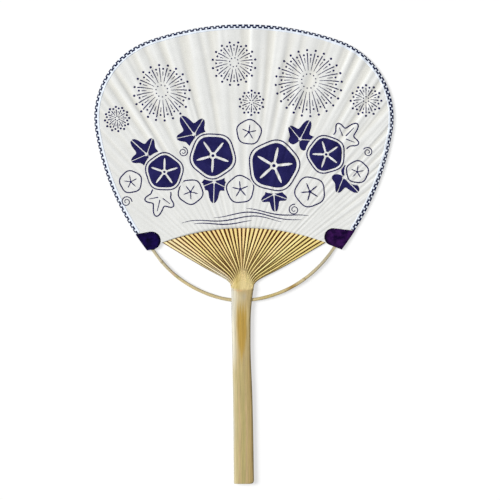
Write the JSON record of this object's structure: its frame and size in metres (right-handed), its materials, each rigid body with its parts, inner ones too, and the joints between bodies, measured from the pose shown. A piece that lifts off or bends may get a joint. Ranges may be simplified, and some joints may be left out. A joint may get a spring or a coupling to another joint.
{
  "type": "round uchiwa fan",
  "caption": "Rigid hand fan: a rounded paper blade on spread bamboo ribs, with a flat bamboo handle, a bent bow, checkered edge binding and dark corner patches.",
  "frame": {"origin": "middle of the fan's footprint, on the surface that it lies on", "axes": "+X across the blade, +Y along the handle towards the top of the blade, +Z out of the printed front"},
  "size_m": [0.2404, 0.369, 0.005],
  "materials": {
    "handle_bamboo": "satin",
    "bow_bamboo": "satin",
    "rib_bamboo": "satin",
    "printed_washi": "matte",
    "plain_washi": "matte",
    "checkered_paper": "matte",
    "indigo_paper": "matte",
    "cotton_thread": "matte"
  },
  "bodies": {
    "root": {"handle": "handle_bamboo", "bow": "bow_bamboo", "front_paper": "printed_washi", "back_paper": "plain_washi", "edge_binding": "checkered_paper", "left_corner_patch": "indigo_paper", "right_corner_patch": "indigo_paper", "upper_thread_strand": "cotton_thread", "lower_thread_strand": "cotton_thread", "left_bow_lashing": "cotton_thread", "right_bow_lashing": "cotton_thread", "rib_01": "rib_bamboo", "rib_02": "rib_bamboo", "rib_03": "rib_bamboo", "rib_04": "rib_bamboo", "rib_05": "rib_bamboo", "rib_06": "rib_bamboo", "rib_07": "rib_bamboo", "rib_08": "rib_bamboo", "rib_09": "rib_bamboo", "rib_10": "rib_bamboo", "rib_11": "rib_bamboo", "rib_12": "rib_bamboo", "rib_13": "rib_bamboo", "rib_14": "rib_bamboo", "rib_15": "rib_bamboo", "rib_16": "rib_bamboo", "rib_17": "rib_bamboo", "rib_18": "rib_bamboo", "rib_19": "rib_bamboo", "rib_20": "rib_bamboo", "rib_21": "rib_bamboo", "rib_22": "rib_bamboo", "rib_23": "rib_bamboo", "rib_24": "rib_bamboo", "rib_25": "rib_bamboo", "rib_26": "rib_bamboo", "rib_27": "rib_bamboo", "rib_28": "rib_bamboo", "rib_29": "rib_bamboo", "rib_30": "rib_bamboo", "rib_31": "rib_bamboo", "rib_32": "rib_bamboo", "rib_33": "rib_bamboo", "rib_34": "rib_bamboo", "rib_35": "rib_bamboo", "rib_36": "rib_bamboo", "rib_37": "rib_bamboo"}
  },
  "joints": []
}
